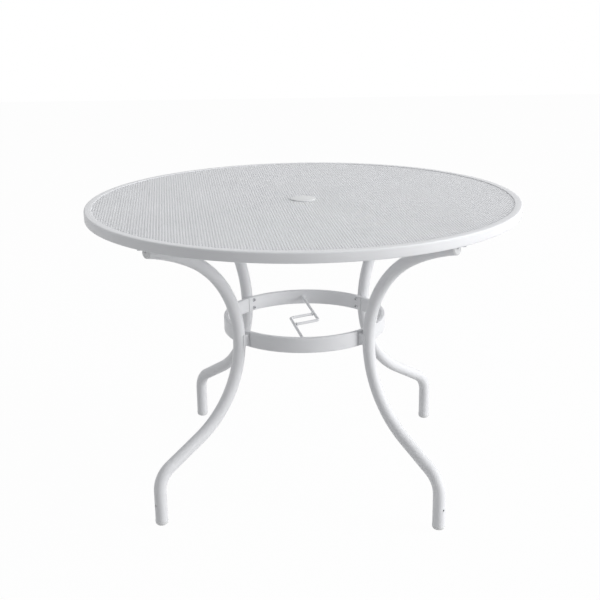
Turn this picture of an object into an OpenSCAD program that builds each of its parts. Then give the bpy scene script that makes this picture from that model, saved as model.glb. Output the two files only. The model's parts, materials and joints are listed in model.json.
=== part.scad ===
// Round outdoor dining table: a steel mesh top on four bent tube legs with a round brace.
// Millimetres, +Z up, origin on the floor under the centre of the top.
// The camera side of the photograph is -Y, and the legs stand on the diagonals.

/* [Top] */
// Diameter of the top over its rim
top_d = 1067; // [900:1:1300]
// Height of the rim's upper face above the floor
top_h = 724; // [690:1:780]
// Height of the rolled rim band
rim_h = 24; // [20:0.5:34]
// Width of the flat flange that frames the mesh
rim_flange_w = 18; // [12:0.5:30]
// Width of the hem turned in under the rim
rim_hem_w = 5; // [3:0.5:8]
// Sheet thickness of the rim
rim_t = 1.6; // [1.2:0.1:2.5]
// Outer radius of the rolled upper edge of the rim
rim_edge_r = 4; // [2:0.5:6]
// Thickness of the mesh sheet
mesh_t = 1.2; // [0.8:0.1:2]
// Distance between the openings of the plain grid that stands for the fine mesh
mesh_pitch = 86; // [86:1:100]
// Width of each of those openings
mesh_open_w = 56; // [44:1:60]
// Turn of the mesh, as seen from above
mesh_turn = 8; // [0:1:45]
// Width of the mesh that stays whole inside the rim's flange and round the collar
mesh_whole_w = 8; // [4:1:12]
// Least width of an opening that the border cuts short
mesh_part_w = 14; // [10:1:20]

/* [Umbrella hole] */
// Bore that guides the umbrella pole
pole_bore_d = 40; // [36:0.5:42]
// Length of the guiding bore
pole_bore_len = 20; // [12:1:26]
// Outside diameter of the collar under the mesh
collar_d = 54; // [50:0.5:60]
// Diameter of the collar's lip on the mesh
collar_lip_d = 59; // [56:0.5:66]
// Thickness of the collar's lip
collar_lip_t = 1.2; // [0.8:0.1:2]
// Outside diameter of the cap
cap_d = 62; // [60:0.5:80]
// Height of the cap's edge
cap_edge_h = 1.5; // [1:0.1:3]
// Rise of the cap's dome over its edge
cap_dome_h = 2; // [1:0.1:4]
// Diameter of the plug under the cap
cap_plug_d = 48; // [43:0.1:49]
// Depth of the plug under the cap's edge
cap_plug_len = 14; // [6:1:16]
// How much deeper the plug's seat is than the plug
cap_seat_spare = 2; // [1:0.5:3]
// Wall of the plug
cap_plug_t = 2; // [1.2:0.1:3]
// Running gap between the plug and its seat, on the radius
cap_gap = 0.05; // [0.02:0.01:0.1]

/* [Braces under the top] */
// Width of each straight brace
brace_w = 25; // [20:1:28]
// Depth of each straight brace
brace_h = 26; // [24:1:34]
// Wall of each straight brace
brace_t = 1.5; // [1.2:0.1:3]
// Depth of the brace where it tucks in behind the rim
brace_tip_h = 17; // [12:1:17]
// Length of the level part of that tip
brace_tip_len = 7; // [6:0.5:10]
// Length of the slope from the tip down to the full depth
brace_slope_len = 11; // [8:1:14]
// Thickness of the plate on each leg's upper end
plate_t = 2; // [2:0.5:5]
// Width of that plate
plate_w = 25; // [22:1:30]
// Length of that plate
plate_len = 72; // [68:1:80]
// How far the plate reaches past the end of the leg
plate_reach = 31; // [28:1:34]
// Width of the saddle between the plate and the leg
plate_saddle_w = 16; // [12:1:22]
// Distance from the leg's end to the end of that saddle
plate_saddle_in = 2; // [1:0.5:5]

/* [Legs] */
// Outside diameter of the leg tube
leg_d = 30; // [26:0.5:31]
// Wall of the leg tube
leg_t = 1.6; // [1.2:0.1:2.5]
// Gap between the round brace and each leg's waist
leg_ring_gap = 1; // [0.5:0.1:4]
// Radius of the upper bend, from the waist up
leg_upper_bend_r = 256; // [245:1:265]
// Angle of that bend
leg_upper_bend_angle = 62; // [58:0.5:66]
// Radius of the flatter bend that goes on to the leg's upper end
leg_end_bend_r = 463; // [430:1:490]
// Slope that is left at the leg's upper end
leg_end_tilt = 12; // [10:0.5:14]
// Radius of the lower bend
leg_lower_bend_r = 253; // [230:1:265]
// Slope of the leg below the waist, from the vertical
leg_slope = 60.5; // [50:0.5:64]
// Radius of the bend over the foot
leg_foot_bend_r = 60; // [40:1:80]
// Distance from the table's axis to each foot
foot_r = 466; // [450:1:490]
// Turn of the lower bend from the upper one, as seen from above
foot_turn = -5; // [-8:0.5:8]
// Height of the drain hole in each leg
drain_h = 52; // [46:1:64]
// Diameter of the drain hole
drain_d = 5; // [3:0.5:7]

/* [Foot glides and end plugs] */
// Height of the glide below the tube
glide_h = 12; // [8:1:16]
// Diameter of the glide
glide_d = 31; // [30.5:0.5:34]
// Radius of the glide's lower edge
glide_edge_r = 8; // [3:0.5:8]
// Length of the glide's stem inside the tube
stem_len = 18; // [10:1:26]
// Gap between a stem and the tube, on the radius
stem_gap = 0.1; // [0.05:0.01:0.2]
// Height of the dome on the plug at each leg's upper end
plug_dome_h = 3; // [2:0.5:5]
// Length of that plug's stem, which ends before the bolt inside the leg
plug_stem_len = 10; // [7:0.5:10]
// Diameter of the hole in that plug
plug_hole_d = 4; // [2:0.5:6]
// Depth of the hole in that plug
plug_hole_len = 6; // [3:0.5:8]

/* [Round brace] */
// Outside radius of the round brace
ring_r = 205.5; // [195:0.5:216]
// Thickness of the brace tube, along the radius
ring_w = 12; // [10:0.5:16]
// Height of the brace tube
ring_h = 38; // [32:1:44]
// Wall of the brace tube
ring_t = 1.5; // [1.2:0.1:2]
// Radius of the brace tube's corners
ring_corner_r = 3; // [2:0.5:4]
// Angle from each leg to the seam beside it
seam_angle = 5.4; // [5:0.1:7]
// Width of the gap at each seam
seam_gap = 1.5; // [0.5:0.1:3]
// Length of the joint tongue on each side of a seam
tongue_len = 40; // [30:1:50]
// Slip gap around a tongue
tongue_gap = 0.2; // [0.1:0.05:0.4]
// Width of the saddle between the brace and a leg
saddle_w = 34; // [26:1:36]
// Height of that saddle
saddle_h = 28; // [26:1:34]
// Rise of the brace's middle over the legs' waist
ring_rise = 2; // [-4:1:6]
// Gap left at each coped or welded face
weld_gap = 0.15; // [0.1:0.01:0.3]

/* [Pole hooks] */
// Diameter of the hook rod
hook_d = 7; // [5:0.5:8]
// Where the rod leaves the brace, measured across from the centre line
hook_root_x = -6; // [-20:1:10]
// How far to the side the rod's corner lies
hook_corner_x = 36; // [32:1:42]
// How far past the centre the rod's corner lies
hook_corner_y = -9; // [-14:1:-6]
// Gap between the end of each short arm and the other rod
hook_end_gap = 0.7; // [0.3:0.1:3]
// Turn of the rod at its corner
hook_turn = 71; // [66:1:76]
// Radius of the rod's bend
hook_bend_r = 10; // [8:1:14]

/* [Fasteners] */
// Diameter of the bolts
bolt_d = 6; // [5:0.5:6]
// Diameter of the button heads
head_d = 10.5; // [9:0.5:11]
// Height of the button heads
head_h = 3.3; // [2.5:0.1:4]
// Across flats of the hex socket
socket_af = 4; // [3:0.5:5]
// Depth of the hex socket
socket_len = 2; // [1:0.1:2.2]
// Height of each bolt on the round brace above and below its middle
ring_bolt_dz = 10.5; // [9:0.5:11]
// Clearance round a bolt's shank, on the radius
bolt_gap = 0.3; // [0.1:0.05:0.5]
// Diameter of the threaded inserts
insert_d = 9; // [8:0.5:9]
// Length of the threaded inserts
insert_len = 9; // [7:0.5:10]
// Gap between a bolt and the bore of its insert, on the radius
thread_gap = 0.05; // [0.02:0.01:0.1]
// Distance from the plate's outer end to its outer bolt
plate_bolt_in = 12; // [10:1:14]
// Distance from the leg's end to the bolt inside it
leg_bolt_in = 19; // [18.5:0.5:21]
// Diameter of the hole under that bolt, which lets it and its key in
access_d = 12; // [11.5:0.5:14]
// Across flats of the hex heads under the plates
hex_af = 10; // [8:0.5:10]
// Height of those heads with their flange
hex_h = 7; // [5:0.5:8]
// Diameter of that flange
flange_d = 13; // [12:0.5:14]
// Thickness of that flange
flange_t = 1.5; // [1:0.1:2]

/* [Hidden] */
$fn = 96;
eps = 0.5;
joint_ring_h = 1;
joint_ring_over = 0.05;

// Azimuths of the four legs, back right first and anticlockwise from above
leg_az = [45, 135, 225, 315];

// Levels, from the top down
mesh_top_z = top_h - rim_t;
mesh_low_z = mesh_top_z - mesh_t;
brace_top_z = mesh_low_z - weld_gap;
brace_low_z = brace_top_z - brace_h;
plate_low_z = brace_low_z - plate_t;
leg_end_z = plate_low_z - weld_gap - leg_d / 2 * cos(leg_end_tilt);
end_bend_z = leg_end_z - leg_end_bend_r * cos(leg_end_tilt);
waist_z = end_bend_z + (leg_end_bend_r - leg_upper_bend_r) * sin(leg_upper_bend_angle);
lip_top_z = mesh_top_z + collar_lip_t;
seat_low_z = lip_top_z - cap_plug_len - cap_seat_spare;
collar_low_z = seat_low_z - pole_bore_len;

// Radii
top_r = top_d / 2;
rim_in_r = top_r - rim_t;
leg_r = leg_d / 2;
leg_waist_r = ring_r + leg_ring_gap + leg_r;
upper_bend_r = leg_waist_r + leg_upper_bend_r;
end_bend_r = upper_bend_r + (leg_end_bend_r - leg_upper_bend_r) * cos(leg_upper_bend_angle);
leg_end_r = end_bend_r - leg_end_bend_r * sin(leg_end_tilt);
ring_in_r = ring_r - ring_w;
ring_mid_z = waist_z + ring_rise;
plate_end_r = leg_end_r + plate_reach;
plate_start_r = plate_end_r - plate_len;
plate_bolt_r = plate_end_r - plate_bolt_in;
leg_bolt_r = leg_end_r - leg_bolt_in;
bolt_r = bolt_d / 2;

// The leg's centre line below the waist, in its own upright plane
slope_start = [
    leg_waist_r + leg_lower_bend_r * (1 - cos(leg_slope)),
    waist_z - leg_lower_bend_r * sin(leg_slope)
];
slope_end_r = foot_r - leg_foot_bend_r * (1 - cos(leg_slope));
slope_len = (slope_end_r - slope_start[0]) / sin(leg_slope);
foot_bend_z = slope_start[1] - slope_len * cos(leg_slope)
    - leg_foot_bend_r * sin(leg_slope);

// Half angle that one seam gap takes at the middle of the brace tube
gap_half = seam_gap / 2 / (ring_r - ring_w / 2) * 180 / PI;
tongue_half = tongue_len / (ring_r - ring_w / 2) * 180 / PI;
// Seams: past the back legs, and inside the front legs
seams = [45 - seam_angle, 135 + seam_angle, 225 + seam_angle, 315 - seam_angle];

white = [0.93, 0.93, 0.93];
steel = [0.62, 0.63, 0.65];

// Height of the flatter bend's centre line at a distance from the axis
function leg_z(r) = end_bend_z + sqrt(pow(leg_end_bend_r, 2) - pow(end_bend_r - r, 2));

module rounded_rect(w, h, r) {
    square([w - 2 * r, h], center = true);
    square([w, h - 2 * r], center = true);
    for (x = [-1, 1], y = [-1, 1])
        translate([x * (w / 2 - r), y * (h / 2 - r)]) circle(r);
}

// Rim: a rolled band with a flange over the mesh and a hem underneath
module rim_profile() {
    difference() {
        union() {
            translate([top_r - rim_flange_w, top_h - rim_t])
                square([rim_flange_w - rim_edge_r, rim_t]);
            translate([top_r - rim_t, top_h - rim_h])
                square([rim_t, rim_h - rim_edge_r]);
            translate([top_r - rim_hem_w, top_h - rim_h])
                square([rim_hem_w, rim_t]);
            intersection() {
                translate([top_r - rim_edge_r, top_h - rim_edge_r]) circle(rim_edge_r);
                translate([top_r - rim_edge_r, top_h - rim_edge_r]) square(rim_edge_r);
            }
        }
        translate([top_r - rim_edge_r, top_h - rim_edge_r]) circle(rim_edge_r - rim_t);
    }
}

module table_rim() {
    color(white) rotate_extrude() rim_profile();
}

// Mesh sheet: a plain grid of openings, under the rim's flange at its edge
module mesh_openings() {
    border_r = top_r - rim_flange_w - mesh_whole_w;
    count = ceil(border_r / mesh_pitch);
    difference() {
        intersection() {
            circle(border_r);
            rotate([0, 0, mesh_turn])
                for (i = [-count:count - 1], j = [-count:count - 1])
                    if (inner_corner_r(i, j) < border_r - mesh_part_w)
                        translate([(i + 0.5) * mesh_pitch, (j + 0.5) * mesh_pitch])
                            square(mesh_open_w, center = true);
        }
        circle(collar_lip_d / 2 + mesh_whole_w);
    }
}

// Distance from the axis to the nearest corner of one opening
function inner_corner_r(i, j) =
    norm([abs(i + 0.5) * mesh_pitch - mesh_open_w / 2, abs(j + 0.5) * mesh_pitch - mesh_open_w / 2]);

module mesh_top() {
    color(white)
        translate([0, 0, mesh_low_z])
            linear_extrude(mesh_t)
                difference() {
                    circle(rim_in_r - rim_edge_r + rim_t - weld_gap);
                    circle(d = collar_d + 2 * weld_gap);
                    mesh_openings();
                }
}

// Collar: guides the umbrella pole below and seats the cap above
module umbrella_collar() {
    color(white)
        difference() {
            union() {
                translate([0, 0, collar_low_z])
                    cylinder(d = collar_d, h = lip_top_z - collar_low_z);
                translate([0, 0, mesh_top_z]) cylinder(d = collar_lip_d, h = collar_lip_t);
            }
            translate([0, 0, collar_low_z - eps])
                cylinder(d = pole_bore_d, h = pole_bore_len + 2 * eps);
            translate([0, 0, seat_low_z])
                cylinder(d = cap_plug_d + 2 * cap_gap, h = lip_top_z - seat_low_z + eps);
        }
}

// Cap: a low dome with a hollow plug, which lifts out for an umbrella
module umbrella_hole_cap() {
    dome_r = (pow(cap_d / 2, 2) + pow(cap_dome_h, 2)) / (2 * cap_dome_h);
    color(white)
        translate([0, 0, lip_top_z]) {
            cylinder(d = cap_d, h = cap_edge_h);
            translate([0, 0, cap_edge_h])
                rotate_extrude()
                    intersection() {
                        translate([0, cap_dome_h - dome_r]) circle(dome_r, $fn = 360);
                        square([cap_d / 2, cap_dome_h]);
                    }
            translate([0, 0, -cap_plug_len])
                difference() {
                    cylinder(d = cap_plug_d, h = cap_plug_len);
                    translate([0, 0, -eps])
                        cylinder(d = cap_plug_d - 2 * cap_plug_t, h = cap_plug_len + eps);
                }
        }
}

// Straight braces: box tubes from the collar to the rim, stepped to tuck in behind it
module brace_side(inset, start) {
    reach = sqrt(pow(rim_in_r, 2) - pow(brace_w / 2, 2)) - weld_gap;
    end = reach - inset;
    top = brace_top_z - inset;
    low = brace_low_z + inset;
    tip = brace_top_z - brace_tip_h + inset;
    level_end = end - brace_tip_len;
    polygon([
        [start, top], [end, top], [end, tip], [level_end, tip],
        [level_end - brace_slope_len, low], [start, low]
    ]);
}

module top_brace(az) {
    color(white)
        rotate([0, 0, az])
            difference() {
                translate([0, brace_w / 2, 0])
                    rotate([90, 0, 0]) linear_extrude(brace_w) brace_side(0, 0);
                translate([0, brace_w / 2 - brace_t, 0])
                    rotate([90, 0, 0])
                        linear_extrude(brace_w - 2 * brace_t) brace_side(brace_t, -eps);
                translate([0, 0, brace_low_z - eps])
                    cylinder(d = collar_d + 2 * weld_gap, h = brace_h + 2 * eps);
                for (r = [plate_bolt_r, leg_bolt_r])
                    translate([r, 0, brace_low_z - eps])
                        cylinder(d = insert_d + 2 * bolt_gap, h = brace_t + 2 * eps);
            }
}

// A tube's cross-section, solid where the inner radius is 0
module tube_profile(outer, inner) {
    difference() {
        circle(outer, $fn = 48);
        if (inner > 0) circle(inner, $fn = 48);
    }
}

// A bend in the upright plane of azimuth 0
module bend(centre, bend_r, start, angle, outer, inner) {
    translate([centre[0], 0, centre[1]])
        rotate([90, 0, 0])
            rotate([0, 0, start])
                rotate_extrude(angle = angle, $fn = 360)
                    translate([bend_r, 0]) tube_profile(outer, inner);
}

// A hair-thin ring over a joint where a straight run goes on from a bend
module joint_ring(outer, inner) {
    translate([0, 0, -joint_ring_h / 2])
        linear_extrude(joint_ring_h)
            tube_profile(outer + joint_ring_over, inner - joint_ring_over);
}

module leg_upper_bend(outer, inner) {
    bend([upper_bend_r, waist_z], leg_upper_bend_r,
        180 - leg_upper_bend_angle, leg_upper_bend_angle, outer, inner);
    translate([upper_bend_r, 0, waist_z])
        rotate([0, leg_upper_bend_angle, 0])
            translate([-leg_upper_bend_r, 0, 0]) joint_ring(outer, inner);
}

// The flatter bend, from the leg's upper end down
module leg_end_bend(angle, outer, inner = 0) {
    bend([end_bend_r, end_bend_z], leg_end_bend_r, 90 + leg_end_tilt, angle, outer, inner);
}

module turned_below_waist() {
    translate([leg_waist_r, 0, 0])
        rotate([0, 0, foot_turn]) translate([-leg_waist_r, 0, 0]) children();
}

module leg_slope_tube(outer, inner) {
    translate([slope_start[0], 0, slope_start[1]])
        rotate([0, 180 - leg_slope, 0]) {
            linear_extrude(slope_len) tube_profile(outer, inner);
            joint_ring(outer, inner);
            translate([0, 0, slope_len]) joint_ring(outer, inner);
        }
}

module leg_foot_tube(outer, inner) {
    bend([foot_r - leg_foot_bend_r, foot_bend_z],
        leg_foot_bend_r, 0, leg_slope, outer, inner);
    translate([foot_r, 0, glide_h])
        linear_extrude(foot_bend_z - glide_h) tube_profile(outer, inner);
}

module at_foot() {
    turned_below_waist() translate([foot_r, 0, 0]) children();
}

module leg(az) {
    inner = leg_r - leg_t;
    color(white)
        rotate([0, 0, az])
            difference() {
                union() {
                    leg_upper_bend(leg_r, inner);
                    leg_end_bend(90 - leg_end_tilt - leg_upper_bend_angle, leg_r, inner);
                    translate([leg_waist_r, 0, waist_z]) joint_ring(leg_r, inner);
                    turned_below_waist() {
                        bend([leg_waist_r + leg_lower_bend_r, waist_z],
                            leg_lower_bend_r, 180, leg_slope, leg_r, inner);
                        leg_slope_tube(leg_r, inner);
                        leg_foot_tube(leg_r, inner);
                    }
                }
                at_foot()
                    translate([0, 0, drain_h])
                        rotate([0, 90, 0]) cylinder(d = drain_d, h = leg_d);
                translate([leg_bolt_r, 0, leg_end_z])
                    cylinder(r = bolt_r + bolt_gap, h = leg_d);
                translate([leg_bolt_r, 0, leg_end_z - leg_d])
                    cylinder(d = access_d, h = leg_d);
                for (dz = [-ring_bolt_dz, ring_bolt_dz])
                    translate([leg_waist_r - leg_d, 0, ring_mid_z + dz])
                        rotate([0, 90, 0])
                            cylinder(d = insert_d + 2 * bolt_gap, h = leg_d);
            }
}

// Plate on the leg's upper end, with a saddle coped to the tube
module leg_plate(az) {
    color(white)
        rotate([0, 0, az])
            difference() {
                union() {
                    translate([plate_start_r, -plate_w / 2, plate_low_z])
                        cube([plate_len, plate_w, plate_t]);
                    plate_saddle();
                }
                for (r = [plate_bolt_r, leg_bolt_r])
                    translate([r, 0, leg_end_z])
                        cylinder(r = bolt_r + bolt_gap, h = leg_d);
            }
}

module plate_saddle() {
    low_z = leg_z(plate_start_r);
    end_r = leg_end_r - leg_r * sin(leg_end_tilt) - plate_saddle_in;
    difference() {
        translate([plate_start_r, -plate_saddle_w / 2, low_z])
            cube([end_r - plate_start_r, plate_saddle_w, plate_low_z - low_z]);
        leg_end_bend(90 - leg_end_tilt - leg_upper_bend_angle, leg_r + weld_gap);
    }
}

// Plug in each leg's upper end: a stem bent as the tube is, and a low dome with a hole
module end_plug() {
    angle_per_mm = 180 / PI / leg_end_bend_r;
    difference() {
        union() {
            bend([end_bend_r, end_bend_z], leg_end_bend_r,
                90 + leg_end_tilt - eps * angle_per_mm, (plug_stem_len + eps) * angle_per_mm,
                leg_r - leg_t - stem_gap, 0);
            at_leg_end() cylinder(r1 = leg_r, r2 = leg_r - plug_dome_h, h = plug_dome_h);
        }
        at_leg_end()
            translate([0, 0, plug_dome_h - plug_hole_len])
                cylinder(d = plug_hole_d, h = plug_hole_len + eps);
    }
}

// Puts Z along the tube, outwards from its upper end
module at_leg_end() {
    translate([leg_end_r, 0, leg_end_z]) rotate([0, 90 - leg_end_tilt, 0]) children();
}

module leg_end_plugs() {
    color(white)
        for (az = leg_az)
            rotate([0, 0, az]) end_plug();
}

// Foot glide: a stem in the tube and a base with a rounded lower edge
module glide_profile() {
    flat = glide_d / 2 - glide_edge_r;
    translate([0, glide_edge_r]) square([glide_d / 2, glide_h - glide_edge_r]);
    square([flat, glide_edge_r]);
    intersection() {
        translate([flat, glide_edge_r]) circle(glide_edge_r);
        translate([flat, 0]) square(glide_edge_r);
    }
    translate([0, glide_h]) square([leg_r - leg_t - stem_gap, stem_len]);
}

module foot_glide(az) {
    color(white) rotate([0, 0, az]) at_foot() rotate_extrude() glide_profile();
}

// Round brace: four arcs of one box tube
module ring_arc(from, to) {
    color(white)
        difference() {
            translate([0, 0, ring_mid_z])
                rotate([0, 0, from + gap_half])
                    rotate_extrude(angle = to - from - 2 * gap_half)
                        translate([ring_r - ring_w / 2, 0])
                            difference() {
                                rounded_rect(ring_w, ring_h, ring_corner_r);
                                rounded_rect(ring_w - 2 * ring_t, ring_h - 2 * ring_t,
                                    ring_corner_r - ring_t);
                            }
            for (az = leg_az) ring_bolt_holes(az);
        }
}

module ring_bolt_holes(az) {
    for (dz = [-ring_bolt_dz, ring_bolt_dz])
        rotate([0, 0, az])
            translate([ring_in_r - ring_w, 0, ring_mid_z + dz])
                rotate([0, 90, 0])
                    cylinder(r = bolt_r + bolt_gap, h = leg_waist_r - ring_in_r + ring_w);
}

// Tongues: bars inside the brace tube that carry it over each seam
module ring_tongues() {
    w = ring_w - 2 * (ring_t + tongue_gap);
    h = ring_h - 2 * (ring_t + tongue_gap) - 2 * ring_corner_r;
    color(white)
        for (i = [0:3])
            difference() {
                translate([0, 0, ring_mid_z])
                    rotate([0, 0, seams[i] - tongue_half])
                        rotate_extrude(angle = 2 * tongue_half)
                            translate([ring_r - ring_w / 2, 0])
                                square([w, h], center = true);
                ring_bolt_holes(leg_az[i]);
            }
}

// Saddles: fill the space between the brace and each leg
module leg_saddles() {
    color(white)
        for (az = leg_az)
            difference() {
                rotate([0, 0, az])
                    difference() {
                        translate([ring_in_r, -saddle_w / 2, ring_mid_z - saddle_h / 2])
                            cube([leg_waist_r - ring_in_r, saddle_w, saddle_h]);
                        translate([leg_waist_r, 0, ring_mid_z - saddle_h])
                            cylinder(r = leg_r + weld_gap, h = 2 * saddle_h);
                    }
                translate([0, 0, ring_mid_z - saddle_h])
                    cylinder(r = ring_r + weld_gap, h = 2 * saddle_h, $fn = 720);
                ring_bolt_holes(az);
            }
}

// Pole hooks: two bent rods that close round the umbrella pole
module pole_hook(az) {
    rod_r = hook_d / 2;
    corner = [hook_corner_x, hook_corner_y];
    root = [hook_root_x, sqrt(pow(ring_in_r, 2) - pow(hook_root_x, 2))];
    run = root - corner;
    run_az = atan2(run[1], run[0]);
    // The other rod runs side by side with this one, this far away
    rod_spacing = 2 * (corner[0] * run[1] - corner[1] * run[0]) / norm(run);
    arm = (rod_spacing - rod_r * (1 + cos(hook_turn)) - hook_end_gap) / sin(hook_turn);
    setback = hook_bend_r * tan(hook_turn / 2);
    color(white)
        intersection() {
            rotate([0, 0, az])
                translate([corner[0], corner[1], ring_mid_z])
                    rotate([0, 0, run_az]) {
                        hook_arm(setback, norm(run));
                        rotate([0, 0, 180 - hook_turn]) hook_arm(setback, arm);
                        translate([setback, hook_bend_r, 0])
                            rotate([0, 0, -90 - hook_turn])
                                rotate_extrude(angle = hook_turn, $fn = 180)
                                    translate([hook_bend_r, 0]) tube_profile(rod_r, 0);
                    }
            translate([0, 0, ring_mid_z - hook_d])
                cylinder(r = ring_in_r - weld_gap, h = 2 * hook_d, $fn = 720);
        }
}

module hook_arm(from, to) {
    translate([from, 0, 0])
        rotate([0, 90, 0]) {
            linear_extrude(to - from) tube_profile(hook_d / 2, 0);
            joint_ring(hook_d / 2, 0);
        }
}

// How far a flat head stands off the hollow inner face of the brace
function head_seat() = ring_in_r - sqrt(pow(ring_in_r, 2) - pow(head_d / 2, 2));

// Button head bolt along +Z, its head under the origin
module button_bolt(len) {
    dome_r = (pow(head_d / 2, 2) + pow(head_h, 2)) / (2 * head_h);
    difference() {
        union() {
            cylinder(r = bolt_r, h = len);
            rotate_extrude()
                intersection() {
                    translate([0, dome_r - head_h]) circle(dome_r);
                    translate([0, -head_h]) square([head_d / 2, head_h]);
                }
        }
        translate([0, 0, -head_h - eps])
            linear_extrude(socket_len + eps)
                circle(d = socket_af / cos(30), $fn = 6);
    }
}

module ring_bolts() {
    len = insert_start_r() + insert_len - ring_in_r;
    color(steel)
        for (az = leg_az, dz = [-ring_bolt_dz, ring_bolt_dz])
            rotate([0, 0, az])
                translate([ring_in_r - weld_gap - head_seat(), 0, ring_mid_z + dz])
                    rotate([0, 90, 0]) button_bolt(len);
}

// Where the inserts in a leg start, just inside its round wall
function insert_start_r() =
    leg_waist_r - sqrt(pow(leg_r, 2) - pow(insert_d / 2, 2)) + weld_gap;

// Threaded insert along +Z with a bore for its bolt
module insert() {
    difference() {
        cylinder(d = insert_d, h = insert_len);
        translate([0, 0, -eps]) cylinder(r = bolt_r + thread_gap, h = insert_len + 2 * eps);
    }
}

module ring_bolt_inserts() {
    color(steel)
        for (az = leg_az, dz = [-ring_bolt_dz, ring_bolt_dz])
            rotate([0, 0, az])
                translate([insert_start_r(), 0, ring_mid_z + dz])
                    rotate([0, 90, 0]) insert();
}

// Hex head bolt along +Z, its flange under the origin
module flange_bolt(len) {
    cylinder(r = bolt_r, h = len);
    translate([0, 0, -flange_t]) cylinder(d = flange_d, h = flange_t);
    translate([0, 0, -hex_h]) linear_extrude(hex_h) circle(d = hex_af / cos(30), $fn = 6);
}

module plate_bolts() {
    color(steel)
        for (az = leg_az)
            rotate([0, 0, az])
                translate([plate_bolt_r, 0, plate_low_z - weld_gap])
                    flange_bolt(plate_t + brace_t + insert_len);
}

// Bolts that start inside the legs, their heads under the tube's upper wall
module leg_bolts() {
    head_z = leg_z(leg_bolt_r - head_d / 2) + leg_r - leg_t - weld_gap;
    color(steel)
        for (az = leg_az)
            rotate([0, 0, az])
                translate([leg_bolt_r, 0, head_z])
                    button_bolt(brace_low_z - head_z + insert_len);
}

module brace_inserts() {
    color(steel)
        for (az = leg_az, r = [plate_bolt_r, leg_bolt_r])
            rotate([0, 0, az]) translate([r, 0, brace_low_z + weld_gap]) insert();
}

table_rim();
mesh_top();
umbrella_collar();
umbrella_hole_cap();
top_brace(leg_az[0]);  // top_brace_back_right
top_brace(leg_az[1]);  // top_brace_back_left
top_brace(leg_az[2]);  // top_brace_front_left
top_brace(leg_az[3]);  // top_brace_front_right
leg_plate(leg_az[0]);  // leg_plate_back_right
leg_plate(leg_az[1]);  // leg_plate_back_left
leg_plate(leg_az[2]);  // leg_plate_front_left
leg_plate(leg_az[3]);  // leg_plate_front_right
leg(leg_az[0]);  // leg_back_right
leg(leg_az[1]);  // leg_back_left
leg(leg_az[2]);  // leg_front_left
leg(leg_az[3]);  // leg_front_right
leg_end_plugs();
foot_glide(leg_az[0]);  // foot_glide_back_right
foot_glide(leg_az[1]);  // foot_glide_back_left
foot_glide(leg_az[2]);  // foot_glide_front_left
foot_glide(leg_az[3]);  // foot_glide_front_right
ring_arc(seams[2], seams[3]);  // ring_arc_front
ring_arc(seams[0], seams[1]);  // ring_arc_back
ring_arc(seams[1], seams[2]);  // ring_arc_left
ring_arc(seams[3] - 360, seams[0]);  // ring_arc_right
ring_tongues();
leg_saddles();
pole_hook(0);  // pole_hook_back
pole_hook(180);  // pole_hook_front
ring_bolts();
ring_bolt_inserts();
plate_bolts();
leg_bolts();
brace_inserts();
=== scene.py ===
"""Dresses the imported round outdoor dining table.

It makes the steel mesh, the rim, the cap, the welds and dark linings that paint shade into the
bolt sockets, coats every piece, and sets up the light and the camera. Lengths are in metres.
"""

import json
import logging
import math
from dataclasses import dataclass, field
from enum import Enum

import bmesh
import bpy
import numpy as np
from mathutils import Matrix


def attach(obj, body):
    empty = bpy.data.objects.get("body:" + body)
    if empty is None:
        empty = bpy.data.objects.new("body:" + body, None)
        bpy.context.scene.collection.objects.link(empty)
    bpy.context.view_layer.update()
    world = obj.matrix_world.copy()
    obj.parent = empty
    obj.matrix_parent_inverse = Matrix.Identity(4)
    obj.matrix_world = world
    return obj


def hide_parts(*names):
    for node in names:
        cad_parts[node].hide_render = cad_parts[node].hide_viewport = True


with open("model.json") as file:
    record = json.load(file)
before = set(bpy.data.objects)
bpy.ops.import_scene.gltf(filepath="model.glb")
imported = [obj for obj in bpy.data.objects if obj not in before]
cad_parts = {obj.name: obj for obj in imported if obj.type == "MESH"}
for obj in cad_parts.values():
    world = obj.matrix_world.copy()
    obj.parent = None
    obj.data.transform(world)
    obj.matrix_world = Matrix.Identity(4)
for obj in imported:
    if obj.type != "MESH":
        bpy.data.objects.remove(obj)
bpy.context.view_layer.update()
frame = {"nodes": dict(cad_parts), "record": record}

log = logging.getLogger("table")

TABLE_BODY = "table"
CAP_BODY = "cap"
LEG_AZIMUTHS = {"back_right": 45.0, "back_left": 135.0, "front_left": 225.0, "front_right": 315.0}
SMOOTH_ANGLE = math.radians(32)
SKIN_MERGE_DISTANCE = 2e-6
POINT_MERGE_DISTANCE = 1e-6
REPEAT_DISTANCE = 1e-7
BEAD_SIDES = 10
RIPPLE_LENGTH = 0.0022
RIPPLE_SHARE = 0.14
TAPER_POWER = 6


class Slot(Enum):
    """The record's material slots."""

    COAT = "white_coat"
    PLASTIC = "white_plastic"
    ZINC = "zinc_steel"


def turn(points: np.ndarray, degrees: float) -> np.ndarray:
    """Turns points about the table's upright axis.

    Args:
        points: Array whose last axis is x, y, z.
        degrees: Angle, anticlockwise from above.

    Returns:
        The turned points.
    """
    c, s = math.cos(math.radians(degrees)), math.sin(math.radians(degrees))
    return points @ np.array([[c, s, 0.0], [-s, c, 0.0], [0.0, 0.0, 1.0]])


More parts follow.
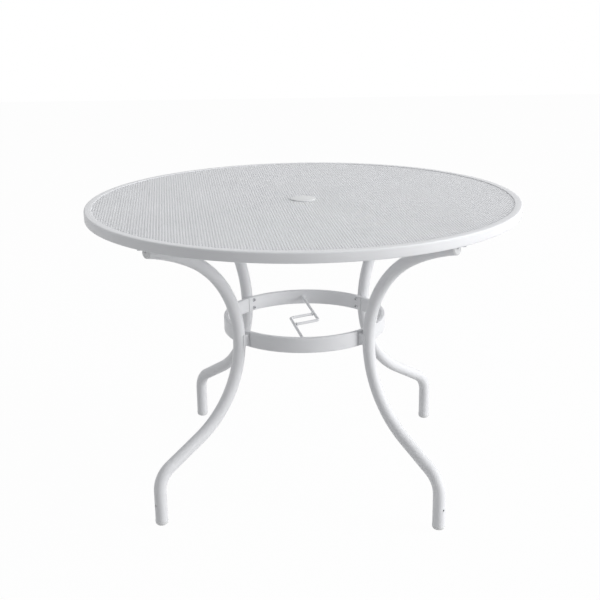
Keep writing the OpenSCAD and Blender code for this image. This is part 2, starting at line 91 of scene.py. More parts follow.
@dataclass
class Skin:
    """Grids of points gathered into one mesh."""

    name: str
    points: list[np.ndarray] = field(default_factory=list)
    quads: list[np.ndarray] = field(default_factory=list)
    count: int = 0

    def grid(self, points: np.ndarray, wrap_u: bool = False, wrap_v: bool = False) -> "Skin":
        """Adds a grid, in which point (i, j) joins its neighbours (i + 1, j) and (i, j + 1).

        Args:
            points: Array of shape (u, v, 3).
            wrap_u: Whether the last row joins the first.
            wrap_v: Whether the last column joins the first.

        Returns:
            This skin.
        """
        nu, nv = points.shape[:2]
        index = np.arange(nu * nv).reshape(nu, nv)
        a = index if wrap_u else index[:-1]
        b = np.roll(index, -1, 0) if wrap_u else index[1:]
        if wrap_v:
            a2, b2 = np.roll(a, -1, 1), np.roll(b, -1, 1)
        else:
            a, a2, b, b2 = a[:, :-1], a[:, 1:], b[:, :-1], b[:, 1:]
        self.quads.append(np.stack([a, b, b2, a2], -1).reshape(-1, 4) + self.count)
        self.points.append(points.reshape(-1, 3))
        self.count += nu * nv
        return self

    def build(self, body: str, slot: Slot, stands_for: tuple[str, ...] = ()) -> bpy.types.Object:
        """Makes the piece, merges its doubled points and turns its faces outwards.

        Args:
            body: CAD body that the piece moves with.
            slot: Material slot of the record; not used.
            stands_for: CAD nodes that the piece replaces.

        Returns:
            The finished object.
        """
        mesh = bpy.data.meshes.new(self.name)
        mesh.from_pydata(np.concatenate(self.points), [], np.concatenate(self.quads).tolist())
        work = bmesh.new()
        work.from_mesh(mesh)
        bmesh.ops.remove_doubles(work, verts=work.verts, dist=SKIN_MERGE_DISTANCE)
        bmesh.ops.recalc_face_normals(work, faces=work.faces)
        work.to_mesh(mesh)
        work.free()
        return place(mesh, body, stands_for)


def place(
    mesh: bpy.types.Mesh, body: str, stands_for: tuple[str, ...] = ()
) -> bpy.types.Object:
    """Links a mesh as a piece that rides on a body.

    Args:
        mesh: Finished mesh in the table's frame.
        body: CAD body that the piece moves with.
        stands_for: CAD nodes that the piece replaces.

    Returns:
        The new object.
    """
    mesh.polygons.foreach_set("use_smooth", np.ones(len(mesh.polygons), bool))
    mesh.set_sharp_from_angle(angle=SMOOTH_ANGLE)
    piece = bpy.data.objects.new(mesh.name, mesh)
    bpy.context.scene.collection.objects.link(piece)
    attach(piece, body)
    if stands_for:
        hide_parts(*stands_for)
    log.info("%s: %d faces on %s", mesh.name, len(mesh.polygons), body)
    return piece


def lathe(profile: np.ndarray, steps: int) -> np.ndarray:
    """Carries a profile of (radius, height) once round the upright axis.

    Args:
        profile: Array of shape (n, 2).
        steps: Number of positions round the axis.

    Returns:
        Grid of shape (steps, n, 3), which wraps in its first direction.
    """
    a = np.linspace(0, 2 * np.pi, steps, endpoint=False)[:, None]
    r, z = profile[None, :, 0], profile[None, :, 1]
    return np.stack([r * np.cos(a), r * np.sin(a), z + 0 * a], -1)


def arc(cx: float, cz: float, r: float, start: float, end: float, steps: int) -> np.ndarray:
    """Points on a circle from one angle to another, both included, in degrees."""
    a = np.radians(np.linspace(start, end, steps))
    return np.stack([cx + r * np.cos(a), cz + r * np.sin(a)], -1)


def sweep(path: np.ndarray, radius: np.ndarray, sides: int, closed: bool = False) -> np.ndarray:
    """Carries a circle along a path, at right angles to it, with one radius for each point.

    Args:
        path: Points of shape (n, 3).
        radius: Radius at each point, shape (n,).
        sides: Points round the circle.
        closed: Whether the path returns to its start.

    Returns:
        Grid of shape (n, sides, 3), which wraps in its second direction.
    """
    if closed:
        along = np.roll(path, -1, 0) - np.roll(path, 1, 0)
    else:
        along = np.gradient(path, axis=0)
    along /= np.linalg.norm(along, axis=1, keepdims=True)
    least_followed_axis = np.eye(3)[np.abs(along).max(0).argmin()]
    side = np.cross(along, least_followed_axis)
    side /= np.linalg.norm(side, axis=1, keepdims=True)
    up = np.cross(side, along)
    a = np.linspace(0, 2 * np.pi, sides, endpoint=False)[None, :, None]
    ring = np.cos(a) * side[:, None] + np.sin(a) * up[:, None]
    return path[:, None] + radius[:, None, None] * ring


def strip(path: np.ndarray, thickness: float, end_steps: int = 8) -> np.ndarray:
    """Outline of a sheet's cross-section: its middle line, offset to both sides, with round ends.

    Args:
        path: Middle line, shape (n, 2).
        thickness: Sheet thickness.
        end_steps: Points on each round end.

    Returns:
        Closed outline of shape (m, 2), without a doubled last point.
    """
    along = np.gradient(path, axis=0)
    along /= np.linalg.norm(along, axis=1, keepdims=True)
    normal = np.stack([-along[:, 1], along[:, 0]], -1)
    half = thickness / 2
    turn_out = np.radians(np.linspace(90, -90, end_steps + 2)[1:-1])[:, None]
    far_end = path[-1] + half * (np.cos(turn_out) * along[-1] + np.sin(turn_out) * normal[-1])
    near_end = path[0] - half * (np.cos(turn_out) * along[0] + np.sin(turn_out) * normal[0])
    left, right = path + half * normal, path[::-1] - half * normal[::-1]
    return np.concatenate([left, far_end, right, near_end])


def joined(*parts: np.ndarray) -> np.ndarray:
    """Strings point lists together and drops points that repeat the one before."""
    path = np.concatenate(parts)
    fresh = np.linalg.norm(np.diff(path, axis=0), axis=1) > REPEAT_DISTANCE
    return path[np.concatenate([[True], fresh])]


def bead(path: np.ndarray, radius: float, closed: bool = False) -> np.ndarray:
    """A weld bead along a path.

    Its radius is the given one times 1 + h sin(2 pi s / l), with s the distance along the path,
    h the ripples' height share and l their length. On a closed path l is stretched so that a
    whole number of ripples fits. On an open path of length L there is a further factor, the
    square root of 1 - (2 s / L - 1)^6, which closes the bead to a point at each end.

    Args:
        path: Points of shape (n, 3), at equal distances.
        radius: Mean radius.
        closed: Whether the path returns to its start.

    Returns:
        Grid of shape (n, BEAD_SIDES, 3), which wraps in its second direction.
    """
    step = np.linalg.norm(path[1] - path[0])
    s = np.arange(len(path)) * step
    length = s[-1] + step if closed else s[-1]
    ripples = length / RIPPLE_LENGTH
    if closed:
        ripples = max(1, round(ripples))
    wave = 1 + RIPPLE_SHARE * np.sin(2 * np.pi * s * ripples / length)
    taper = 1.0 if closed else np.sqrt(np.clip(1 - (2 * s / length - 1) ** TAPER_POWER, 0, 1))
    return sweep(path, radius * wave * taper, BEAD_SIDES, closed)


@dataclass(frozen=True)
class Finish:
    """A procedural surface: a base colour with slow drift, fine texture and its gloss."""

    name: str
    colour: tuple[float, float, float]
    roughness: float
    metallic: float = 0.0
    drift: float = 0.03
    grain_size: float = 0.003
    grain_depth: float = 0.00004
    specular: float = 0.5
    drift_cells: float = 9.0
    drift_stops: tuple[float, float] = (0.3, 0.7)
    gloss_cells: float = 60.0
    gloss_spread: float = 0.06

    def material(self) -> bpy.types.Material:
        """Builds the node tree.

        The colour is the base times a slow noise of drift_cells cells in a metre. The roughness
        is its value plus or minus gloss_spread by a quicker noise, and the height is a fine
        noise whose cells are grain_size wide.

        Returns:
            The new material.
        """
        mat = bpy.data.materials.new(self.name)
        mat.use_nodes = True
        tree = mat.node_tree
        shader = tree.nodes["Principled BSDF"]
        shader.inputs["Metallic"].default_value = self.metallic
        shader.inputs["Specular IOR Level"].default_value = self.specular
        coords = tree.nodes.new("ShaderNodeTexCoord")
        slow = self.noise(tree, coords, self.drift_cells, 3.0)
        tint = tree.nodes.new("ShaderNodeValToRGB")
        low, high = tint.color_ramp.elements
        low.position, high.position = self.drift_stops
        low.color = (*[c * (1 - self.drift) for c in self.colour], 1)
        high.color = (*[min(1, c * (1 + self.drift)) for c in self.colour], 1)
        tree.links.new(slow.outputs["Fac"], tint.inputs["Fac"])
        tree.links.new(tint.outputs["Color"], shader.inputs["Base Color"])
        quick = self.noise(tree, coords, self.gloss_cells, 2.0)
        gloss = tree.nodes.new("ShaderNodeMapRange")
        gloss.inputs["To Min"].default_value = self.roughness - self.gloss_spread
        gloss.inputs["To Max"].default_value = self.roughness + self.gloss_spread
        tree.links.new(quick.outputs["Fac"], gloss.inputs["Value"])
        tree.links.new(gloss.outputs["Result"], shader.inputs["Roughness"])
        fine = self.noise(tree, coords, 1.0 / self.grain_size, 2.0)
        bump = tree.nodes.new("ShaderNodeBump")
        bump.inputs["Distance"].default_value = self.grain_depth
        tree.links.new(fine.outputs["Fac"], bump.inputs["Height"])
        tree.links.new(bump.outputs["Normal"], shader.inputs["Normal"])
        return mat

    @staticmethod
    def noise(
        tree: bpy.types.NodeTree, coords: bpy.types.Node, scale: float, detail: float
    ) -> bpy.types.Node:
        """Adds a noise texture on object coordinates.

        Args:
            tree: Node tree.
            coords: Texture coordinate node.
            scale: Cells in a metre.
            detail: Octaves.

        Returns:
            The noise node.
        """
        node = tree.nodes.new("ShaderNodeTexNoise")
        node.inputs["Scale"].default_value = scale
        node.inputs["Detail"].default_value = detail
        tree.links.new(coords.outputs["Object"], node.inputs["Vector"])
        return node


COAT = Finish("white_powder_coat", (0.80, 0.805, 0.82), 0.46, drift=0.015, specular=0.22)
PLASTIC = Finish("white_plastic", (0.78, 0.785, 0.79), 0.5, grain_size=0.0015)
ZINC = Finish("zinc_plate", (0.52, 0.53, 0.55), 0.34, metallic=1.0, drift=0.1)
# Near-black steel that paints shade: it lines the bolt sockets and colours the ring tongues seen
# in the brace's seam gaps.
SHADE_STEEL = Finish("painted_shade_steel", (0.10, 0.10, 0.105), 0.6, metallic=0.4, drift=0.15)


def dress(piece: bpy.types.Object, material: bpy.types.Material) -> None:
    """Puts one material on every slot of a piece."""
    if not piece.data.materials:
        piece.data.materials.append(material)
    for s in piece.material_slots:
        s.material = material


@dataclass
class MeshTop:
    """The steel mesh: a sheet with a square hole in each cell of a turned grid.

    It is 0.5 mm thicker than the CAD sheet, so that its holes look darker, and its underside
    lies 0.35 mm below the top of the straight braces.
    """

    pitch: float = 0.00637
    bar: float = 0.0024
    turn_degrees: float = 8.0
    top_z: float = 0.7224
    thickness: float = 0.0017
    outer_r: float = 0.5286
    holes_to_r: float = 0.5195
    inner_r: float = 0.02725
    holes_from_r: float = 0.0315

    def cells(self) -> tuple[np.ndarray, np.ndarray]:
        """Lists the cells whose corners reach into the sheet's ring.

        Returns:
            Corners of shape (cells, 4, 2) before they are drawn in to the ring, and whether
            each cell has a hole.
        """
        n = int(self.outer_r / self.pitch) + 2
        i, j = np.meshgrid(np.arange(-n, n), np.arange(-n, n), indexing="ij")
        low = np.stack([i.ravel(), j.ravel()], -1) * self.pitch
        step = np.array([[0, 0], [1, 0], [1, 1], [0, 1]]) * self.pitch
        corners = low[:, None] + step
        r = np.linalg.norm(corners, axis=-1)
        kept = (r.min(1) < self.outer_r) & (r.max(1) > self.inner_r)
        holed = (r.max(1) < self.holes_to_r) & (r.min(1) > self.holes_from_r)
        return corners[kept], holed[kept]

    def drawn_in(self, corners: np.ndarray) -> np.ndarray:
        """Moves each corner outside the ring to the ring's nearer edge, along its radius."""
        r = np.linalg.norm(corners, axis=-1, keepdims=True)
        return corners * np.clip(r, self.inner_r, self.outer_r) / np.maximum(r, 1e-9)

    def quarter(self, number: int, corners: np.ndarray, holed: np.ndarray) -> bpy.types.Mesh:
        """Makes one quarter of the sheet.

        A holed cell is a frame: its four corners and the four corners of its hole, on the top
        and on the underside, with the hole's four walls between them. Any other cell is
        plain. The corners are shared by whole numbers of the grid, so neighbours join.

        Args:
            number: Quarter, from 0.
            corners: Cell corners, shape (cells, 4, 2).
            holed: Whether each cell has a hole.

        Returns:
            The mesh.
        """
        steps = np.round(corners / self.pitch).astype(np.int64).reshape(-1, 2)
        shared, index = np.unique(steps, axis=0, return_inverse=True)
        outer = index.reshape(-1, 4)
        outer_xy = self.drawn_in(shared * self.pitch)
        middle = corners[holed].mean(1, keepdims=True)
        inner_xy = middle + (corners[holed] - middle) * (1 - self.bar / self.pitch)
        n_out, n_in = len(outer_xy), len(inner_xy) * 4
        inner = np.arange(n_in).reshape(-1, 4) + n_out
        level = n_out + n_in
        xy = np.concatenate([outer_xy, inner_xy.reshape(-1, 2)])
        low_z = self.top_z - self.thickness
        points = np.concatenate([
            np.column_stack([xy, np.full(level, self.top_z)]),
            np.column_stack([xy, np.full(level, low_z)]),
        ])
        nxt = np.roll(np.arange(4), -1)
        frame_top = np.stack([outer[holed], outer[holed][:, nxt], inner[:, nxt], inner], -1)
        frame_top = frame_top.reshape(-1, 4)
        walls = np.stack([inner, inner[:, nxt], inner[:, nxt] + level, inner + level], -1)
        plain = outer[~holed]
        top = np.concatenate([frame_top, plain])
        quads = np.concatenate([top, top[:, ::-1] + level, walls.reshape(-1, 4)])
        mesh = bpy.data.meshes.new(f"mesh_quarter_{number + 1}")
        mesh.from_pydata(turn(points, self.turn_degrees), [], quads.tolist())
        work = bmesh.new()
        work.from_mesh(mesh)
        bmesh.ops.remove_doubles(work, verts=work.verts, dist=POINT_MERGE_DISTANCE)
        work.to_mesh(mesh)
        work.free()
        return mesh

    def build(self, coat: bpy.types.Material) -> None:
        """Makes the four quarters, each of which stands for the CAD sheet."""
        corners, holed = self.cells()
        middle = corners.mean(1)
        quarter = (middle[:, 0] > 0).astype(int) + 2 * (middle[:, 1] > 0)
        for number in range(4):
            own = quarter == number
            mesh = self.quarter(number, corners[own], holed[own])
            dress(place(mesh, TABLE_BODY, ("mesh_top",)), coat)


@dataclass
class Rim:
    """The rolled rim: a flange over the mesh, a side band and a hem."""

    outer_r: float = 0.5335
    top_z: float = 0.724
    height: float = 0.024
    sheet: float = 0.0016
    flange_w: float = 0.018
    hem_w: float = 0.005
    roll_r: float = 0.004
    hem_r: float = 0.0014
    steps_round: int = 288
    seam_azimuth: float = 97.0
    seam_bead_r: float = 0.0012
    seam_inset: float = 0.0007
    seam_foot: float = 0.003
    seam_steps: int = 60

    def middle_line(self) -> np.ndarray:
        """The sheet's middle line: in along the flange, over the roll, down and in at the hem."""
        half = self.sheet / 2
        side_r, low_z = self.outer_r - half, self.top_z - self.height + half
        roll = self.roll_r - half
        flange = np.array([[self.outer_r - self.flange_w + half, self.top_z - half]])
        over = arc(side_r - roll, self.top_z - half - roll, roll, 90, 0, 10)
        under = arc(side_r - self.hem_r, low_z + self.hem_r, self.hem_r, 0, -90, 6)
        hem = np.array([[self.outer_r - self.hem_w + half, low_z]])
        return joined(flange, over, under, hem)

    def build(self, coat: bpy.types.Material) -> None:
        """Makes the rim and the ground-down seam where its ends are welded."""
        profile = strip(self.middle_line(), self.sheet)
        rim = Skin("rolled_rim").grid(lathe(profile, self.steps_round), wrap_u=True, wrap_v=True)
        dress(rim.build(TABLE_BODY, Slot.COAT, ("table_rim",)), coat)
        low, high = self.top_z - self.height + self.seam_foot, self.top_z - self.roll_r
        z = np.linspace(low, high, self.seam_steps)
        line = np.stack([0 * z + self.outer_r - self.seam_inset, 0 * z, z], -1)
        seam = Skin("rim_seam").grid(bead(line, self.seam_bead_r), wrap_v=True)
        seam.points = [turn(p, self.seam_azimuth) for p in seam.points]
        dress(seam.build(TABLE_BODY, Slot.COAT), coat)


@dataclass
class HoleCap:
    """The low cap in the umbrella hole, with its hollow plug."""

    low_z: float = 0.7236
    radius: float = 0.031
    edge_h: float = 0.0015
    dome_h: float = 0.002
    edge_r: float = 0.0012
    edge_start: float = 84.0
    foot_r: float = 0.0004
    plug_r: float = 0.024
    plug_wall: float = 0.002
    plug_len: float = 0.014
    root_chamfer: float = 0.0006
    inner_chamfer: float = 0.002
    dome_steps: int = 24
    steps_round: int = 96

    def profile(self) -> np.ndarray:
        """From the axis over the dome, round the edge, down the plug and up inside it.

        The dome's height is its crown times 1 - (r / radius) squared.
        """
        r = np.linspace(0, self.radius - self.edge_r, self.dome_steps)
        crown_z = self.low_z + self.edge_h
        dome = np.stack([r, crown_z + self.dome_h * (1 - (r / self.radius) ** 2)], -1)
        edge_z = dome[-1, 1] - self.edge_r
        edge = arc(self.radius - self.edge_r, edge_z, self.edge_r, self.edge_start, 0, 7)
        foot = arc(self.radius - self.foot_r, self.low_z + self.foot_r, self.foot_r, 0, -90, 4)
        root = np.array([
            [self.plug_r + self.root_chamfer, self.low_z],
            [self.plug_r, self.low_z - self.root_chamfer],
        ])
        half, end_z = self.plug_wall / 2, self.low_z - self.plug_len
        end = arc(self.plug_r - half, end_z + half, half, 0, -180, 9)
        inner_r = self.plug_r - self.plug_wall
        inside = np.array([
            [inner_r, self.low_z - self.inner_chamfer],
            [inner_r - self.inner_chamfer, self.low_z],
            [0, self.low_z],
        ])
        return joined(dome, edge, foot, root, end, inside)

    def build(self, plastic: bpy.types.Material) -> None:
        """Makes the cap, which stands for the CAD one."""
        cap = Skin("hole_cap").grid(lathe(self.profile(), self.steps_round), wrap_u=True)
        dress(cap.build(CAP_BODY, Slot.PLASTIC, ("umbrella_hole_cap",)), plastic)


@dataclass
class Welds:
    """Weld beads under the powder coat, at the round brace, the pole hooks and the plates."""

    ring_r: float = 0.2055
    ring_mid_z: float = 0.41012
    waist_r: float = 0.2215
    leg_r: float = 0.015
    saddle_w: float = 0.034
    saddle_h: float = 0.028
    plate_low_z: float = 0.69305
    plate_start_r: float = 0.4374
    saddle_end_r: float = 0.4720
    plate_saddle_w: float = 0.016
    hook_root: tuple[float, float] = (-0.006, 0.1934)
    hook_corner: tuple[float, float] = (0.036, -0.009)
    hook_arm: tuple[float, float] = (-0.860, -0.511)
    hook_arm_len: float = 0.065
    hook_r: float = 0.0035
    collar_r: float = 0.027
    brace_w: float = 0.025
    brace_top_z: float = 0.72105
    brace_low_z: float = 0.69505
    saddle_bead_r: float = 0.0014
    saddle_bead_out: float = 0.0004
    leg_bead_r: float = 0.0012
    leg_bead_out: float = 0.0006
    root_bead_r: float = 0.0026
    root_bead_out: float = 0.0006
    root_bead_shift: float = 0.0009
    tip_bead_r: float = 0.0014
    tip_bead_in: float = 0.0002
    tip_bead_shift: float = 0.0005
    plate_bead_r: float = 0.0012
    collar_bead_r: float = 0.0013
    collar_bead_out: float = 0.0004
    collar_bead_foot: float = 0.001
    collar_bead_head: float = 0.002
    saddle_steps: int = 64
    rod_steps: int = 48
    plate_steps: int = 90
    collar_steps: int = 70
    pieces: list[Skin] = field(default_factory=list)

    def on_legs(self, name: str, line: np.ndarray, side: float, r: float) -> None:
        """Beads up one line, copied to both sides of each leg's azimuth.

        Args:
            name: Name of the piece.
            line: Points in the upright plane of azimuth 0, shape (n, 3).
            side: Distance to each side of that plane.
            r: Bead radius.
        """
        skin = Skin(name)
        for azimuth in LEG_AZIMUTHS.values():
            for y in (-side, side):
                skin.grid(turn(bead(line + [0.0, y, 0.0], r), azimuth), wrap_v=True)
        self.pieces.append(skin)

    def upright(
        self, name: str, x: float, side: float, low: float, high: float, r: float, steps: int
    ) -> None:
        """Beads up upright lines on both sides of each leg's azimuth.

        Args:
            name: Name of the piece.
            x: Distance from the axis along the leg's azimuth.
            side: Distance to each side.
            low: Lower end.
            high: Upper end.
            r: Bead radius.
            steps: Points along the bead.
        """
        z = np.linspace(low, high, steps)
        self.on_legs(name, np.stack([0 * z + x, 0 * z, z], -1), side, r)

    def round_rod(
        self, name: str, middle: np.ndarray, along: np.ndarray, r: float, size: float
    ) -> None:
        """Beads round a rod where it meets another face, on both hooks.

        Args:
            name: Name of the piece.
            middle: Where the rod's middle line meets the other face, x and y.
            along: Direction of the rod, x and y.
            r: Radius of the circle that the bead follows.
            size: Bead radius.
        """
        a = np.linspace(0, 2 * np.pi, self.rod_steps, endpoint=False)
        side = np.array([-along[1], along[0]]) / np.linalg.norm(along)
        line = np.stack([
            middle[0] + r * np.cos(a) * side[0],
            middle[1] + r * np.cos(a) * side[1],
            self.ring_mid_z + r * np.sin(a),
        ], -1)
        skin = Skin(name)
        for azimuth in (0.0, 180.0):
            skin.grid(turn(bead(line, size, closed=True), azimuth), wrap_u=True, wrap_v=True)
        self.pieces.append(skin)

    def build(self, coat: bpy.types.Material) -> None:
        """Makes every bead and coats it."""
        self.saddle_beads()
        self.hook_beads()
        self.top_beads()
        for skin in self.pieces:
            dress(skin.build(TABLE_BODY, Slot.COAT), coat)

    def saddle_beads(self) -> None:
        """Beads where the saddles meet the round brace and the legs."""
        low, high = self.ring_mid_z - self.saddle_h / 2, self.ring_mid_z + self.saddle_h / 2
        side = self.saddle_w / 2
        brace_x = math.sqrt(self.ring_r ** 2 - side ** 2) + self.saddle_bead_out
        bead_r, steps = self.saddle_bead_r, self.saddle_steps
        self.upright("brace_saddle_beads", brace_x, side, low, high, bead_r, steps)
        side, bead_r = self.leg_r + self.leg_bead_out, self.leg_bead_r
        self.upright("leg_saddle_beads", self.waist_r, side, low, high, bead_r, steps)

    def hook_beads(self) -> None:
        """Beads at the hooks' roots on the round brace and at their tips on the other hook."""
        root, corner = np.array(self.hook_root), np.array(self.hook_corner)
        run = root - corner
        root_middle = root - self.root_bead_shift * run / np.linalg.norm(run)
        circle_r = self.hook_r + self.root_bead_out
        self.round_rod("hook_root_beads", root_middle, run, circle_r, self.root_bead_r)
        arm = np.array(self.hook_arm)
        tip = corner + (self.hook_arm_len - self.tip_bead_shift) * arm
        circle_r = self.hook_r - self.tip_bead_in
        self.round_rod("hook_tip_beads", tip, arm, circle_r, self.tip_bead_r)

    def top_beads(self) -> None:
        """Beads along the plates' saddles, and where the straight braces meet the collar."""
        r = np.linspace(self.plate_start_r, self.saddle_end_r, self.plate_steps)
        line = np.stack([r, 0 * r, 0 * r + self.plate_low_z], -1)
        self.on_legs("plate_beads", line, self.plate_saddle_w / 2, self.plate_bead_r)
        side = self.brace_w / 2
        collar_x = math.sqrt(self.collar_r ** 2 - side ** 2) + self.collar_bead_out
        low = self.brace_low_z + self.collar_bead_foot
        high = self.brace_top_z - self.collar_bead_head
        bead_r, steps = self.collar_bead_r, self.collar_steps
        self.upright("collar_beads", collar_x, side, low, high, bead_r, steps)


@dataclass
class Sockets:
    """Dark linings that paint shade into the hex sockets of the bolts on the round brace."""

    across_flats: float = 0.004
    depth: float = 0.00195
    edge_depth: float = 0.0006
    wall: float = 0.0001
    lining: float = 0.00004
    mouth_r: float = 0.18998
    levels: tuple[float, float] = (0.39962, 0.42062)

    def cup(self, at: np.ndarray, inward: np.ndarray) -> np.ndarray:
        """A thin-walled hex cup, from the middle of its floor up inside and down outside.

        Args:
            at: Middle of the socket's mouth.
            inward: Level direction into the bolt, of length 1.

        Returns:
            Grid of shape (6, 6, 3), which wraps in its first direction.
        """
        side = np.cross(inward, [0.0, 0.0, 1.0])
        over = np.cross(inward, side)
        a = np.radians(np.arange(6) * 60.0)[:, None]
        flats_to_corners = 1 / math.cos(math.radians(30))
        around = (np.cos(a) * side + np.sin(a) * over) * flats_to_corners
        outer = (self.across_flats / 2 - self.lining) * around
        inner = outer - self.wall * around
        low, high = at + inward * (self.depth - self.wall), at + inward * self.edge_depth
        end = at + inward * self.depth
        inside = [0 * inner + low, low + inner, high + inner]
        outside = [high + outer, end + outer, 0 * outer + end]
        return np.stack(inside + outside, 1)

    def build(self, painted_shade: bpy.types.Material) -> None:
        """Lines the sockets of all eight bolts with the near-black steel, as painted shade."""
        skin = Skin("socket_shade_linings")
        for azimuth in LEG_AZIMUTHS.values():
            for z in self.levels:
                cup = self.cup(np.array([self.mouth_r, 0.0, z]), np.array([1.0, 0.0, 0.0]))
                skin.grid(turn(cup.reshape(-1, 3), azimuth).reshape(cup.shape), wrap_u=True)
        # The near-black linings are painted shade in the sockets.
        dress(skin.build(TABLE_BODY, Slot.ZINC), painted_shade)


def smooth_nodes(names: list[str]) -> None:
    """Shades CAD nodes smoothly over their bends, and leaves their corners sharp.

    Args:
        names: CAD nodes.
    """
    for name in names:
        node = frame["nodes"][name]
        node.data.polygons.foreach_set("use_smooth", np.ones(len(node.data.polygons), bool))
        weld = node.modifiers.new("joined_facets", "WELD")
        weld.merge_threshold = POINT_MERGE_DISTANCE
        split = node.modifiers.new("sharp_corners", "EDGE_SPLIT")
        split.split_angle = SMOOTH_ANGLE


@dataclass(frozen=True)
class Lamp:
    """A square lamp that faces the middle of the table."""

    name: str
    azimuth: float
    elevation: float
    reach: float
    size: float
    watts: float
    aim_z: float = 0.45

    def hang(self) -> None:
        """Puts the lamp at its azimuth from +X, its elevation and its distance in metres."""
        data = bpy.data.lights.new(self.name, "AREA")
        data.size, data.energy = self.size, self.watts
        lamp = bpy.data.objects.new(self.name, data)
        bpy.context.scene.collection.objects.link(lamp)
        a, e = math.radians(self.azimuth), math.radians(self.elevation)
        back = np.array([math.cos(a) * math.cos(e), math.sin(a) * math.cos(e), math.sin(e)])
        side = np.array([-math.sin(a), math.cos(a), 0.0])
        over = np.cross(back, side)
        at = back * self.reach + np.array([0.0, 0.0, self.aim_z])
        lamp.matrix_world = Matrix(
            [[side[k], over[k], back[k], at[k]] for k in range(3)] + [[0, 0, 0, 1]]
        )


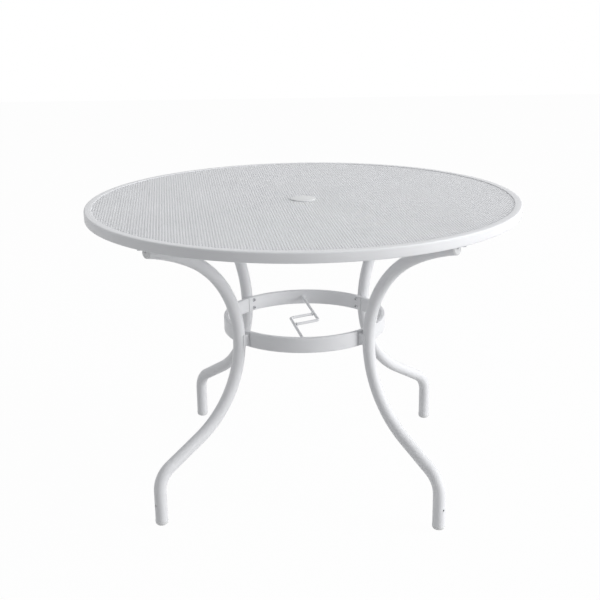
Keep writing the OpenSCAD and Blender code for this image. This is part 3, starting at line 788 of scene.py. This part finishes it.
@dataclass(frozen=True)
class Studio:
    """The floor, the light and the photograph's camera."""

    lens: float = 62.87
    sensor_w: float = 36.0
    clip: tuple[float, float] = (0.05, 100.0)
    distance: float = 2.554
    height: float = 1.245
    aside: float = -0.0108
    pitch: float = 17.06
    roll: float = -0.90
    yaw: float = 1.045
    floor_half_w: float = 9.0
    floor_tone: float = 0.68
    floor_white_share: float = 0.975
    fill: float = 0.375
    fill_colour: tuple[float, float, float] = (0.97, 0.98, 1.0)
    lamps: tuple[Lamp, ...] = (
        Lamp("key_right", -19.0, 15.0, 9.0, 3.9, 412.0),
        Lamp("high_right", -3.0, 38.0, 8.0, 3.2, 235.0),
        Lamp("overhead", -60.0, 76.0, 3.5, 2.2, 9.0),
        Lamp("soft_left", 172.0, 20.0, 4.0, 2.4, 16.0),
    )

    def camera(self) -> None:
        """Sets the camera: level axes pitched down, then rolled about the line of sight."""
        data = bpy.data.cameras.new("photo_camera")
        data.lens, data.sensor_width = self.lens, self.sensor_w
        data.clip_start, data.clip_end = self.clip
        cam = bpy.data.objects.new("photo_camera", data)
        bpy.context.scene.collection.objects.link(cam)
        p, q = math.radians(self.pitch), math.radians(self.roll)
        right = np.array([1.0, 0.0, 0.0])
        up = np.array([0.0, math.sin(p), math.cos(p)])
        rolled_right = right * math.cos(q) + up * math.sin(q)
        rolled_up = -right * math.sin(q) + up * math.cos(q)
        back = np.cross(rolled_right, rolled_up)
        axes = turn(np.stack([rolled_right, rolled_up, back]), self.yaw)
        at = turn(np.array([self.aside, -self.distance, self.height]), self.yaw)
        cam.matrix_world = Matrix([[*axes[:, k], at[k]] for k in range(3)] + [[0, 0, 0, 1]])
        bpy.context.scene.camera = cam

    def floor(self) -> None:
        """Lays a plain pale floor, which shows white to the camera and keeps a soft shadow."""
        side = np.array([-self.floor_half_w, self.floor_half_w])
        x, y = np.meshgrid(side, side, indexing="ij")
        skin = Skin("floor").grid(np.stack([x, y, 0 * x], -1))
        mesh = bpy.data.meshes.new("floor")
        mesh.from_pydata(skin.points[0], [], skin.quads[0].tolist())
        floor = bpy.data.objects.new("floor", mesh)
        bpy.context.scene.collection.objects.link(floor)
        mat = bpy.data.materials.new("pale_floor")
        mat.use_nodes = True
        tree = mat.node_tree
        tree.nodes.clear()
        out = tree.nodes.new("ShaderNodeOutputMaterial")
        matt = tree.nodes.new("ShaderNodeBsdfDiffuse")
        matt.inputs["Color"].default_value = (*[self.floor_tone] * 3, 1)
        glow = tree.nodes.new("ShaderNodeEmission")
        glow.inputs["Color"].default_value = (1, 1, 1, 1)
        mix = tree.nodes.new("ShaderNodeMixShader")
        tree.links.new(self.seen_directly(tree, self.floor_white_share), mix.inputs["Fac"])
        tree.links.new(matt.outputs[0], mix.inputs[1])
        tree.links.new(glow.outputs[0], mix.inputs[2])
        tree.links.new(mix.outputs[0], out.inputs["Surface"])
        dress(floor, mat)

    @staticmethod
    def seen_directly(tree: bpy.types.NodeTree, share: float) -> bpy.types.NodeSocket:
        """A factor of share for what the camera, a gloss or a clear ray sees, else 0."""
        path = tree.nodes.new("ShaderNodeLightPath")
        total = path.outputs["Is Camera Ray"]
        for name in ("Is Glossy Ray", "Is Transmission Ray"):
            either = tree.nodes.new("ShaderNodeMath")
            either.operation = "MAXIMUM"
            tree.links.new(total, either.inputs[0])
            tree.links.new(path.outputs[name], either.inputs[1])
            total = either.outputs[0]
        scaled = tree.nodes.new("ShaderNodeMath")
        scaled.operation = "MULTIPLY"
        scaled.inputs[1].default_value = share
        tree.links.new(total, scaled.inputs[0])
        return scaled.outputs[0]

    def world(self) -> None:
        """Fills the room with even light, and shows white behind the object."""
        world = bpy.data.worlds.new("studio")
        bpy.context.scene.world = world
        world.use_nodes = True
        tree = world.node_tree
        tree.nodes.clear()
        out = tree.nodes.new("ShaderNodeOutputWorld")
        fill = tree.nodes.new("ShaderNodeBackground")
        fill.inputs["Color"].default_value = (*self.fill_colour, 1)
        fill.inputs["Strength"].default_value = self.fill
        white = tree.nodes.new("ShaderNodeBackground")
        white.inputs["Color"].default_value = (1, 1, 1, 1)
        mix = tree.nodes.new("ShaderNodeMixShader")
        tree.links.new(self.seen_directly(tree, 1.0), mix.inputs["Fac"])
        tree.links.new(fill.outputs[0], mix.inputs[1])
        tree.links.new(white.outputs[0], mix.inputs[2])
        tree.links.new(mix.outputs[0], out.inputs["Surface"])

    def build(self) -> None:
        """Makes the camera, the floor and the lights."""
        self.camera()
        self.floor()
        self.world()
        for lamp in self.lamps:
            lamp.hang()
        bpy.context.scene.view_settings.view_transform = "Standard"


def main() -> None:
    """Builds the table piece by piece, then the studio."""
    logging.basicConfig(level=logging.INFO, format="%(message)s")
    coat, plastic = COAT.material(), PLASTIC.material()
    zinc, painted_shade = ZINC.material(), SHADE_STEEL.material()
    by_slot = {Slot.COAT.value: coat, Slot.PLASTIC.value: plastic, Slot.ZINC.value: zinc}
    MeshTop().build(coat)
    Rim().build(coat)
    HoleCap().build(plastic)
    Welds().build(coat)
    Sockets().build(painted_shade)
    for row in frame["record"]["subparts"]:
        dress(frame["nodes"][row["node"]], by_slot[row["material_slot"]])
    # The ring tongues are bare steel inside the arcs. They are made much darker than bare steel,
    # so the seam gaps show painted shade.
    dress(frame["nodes"]["ring_tongues"], painted_shade)
    smooth_nodes([n for n in frame["nodes"] if n != "mesh_top"])
    Studio().build()


if __name__ == "__main__":
    main()
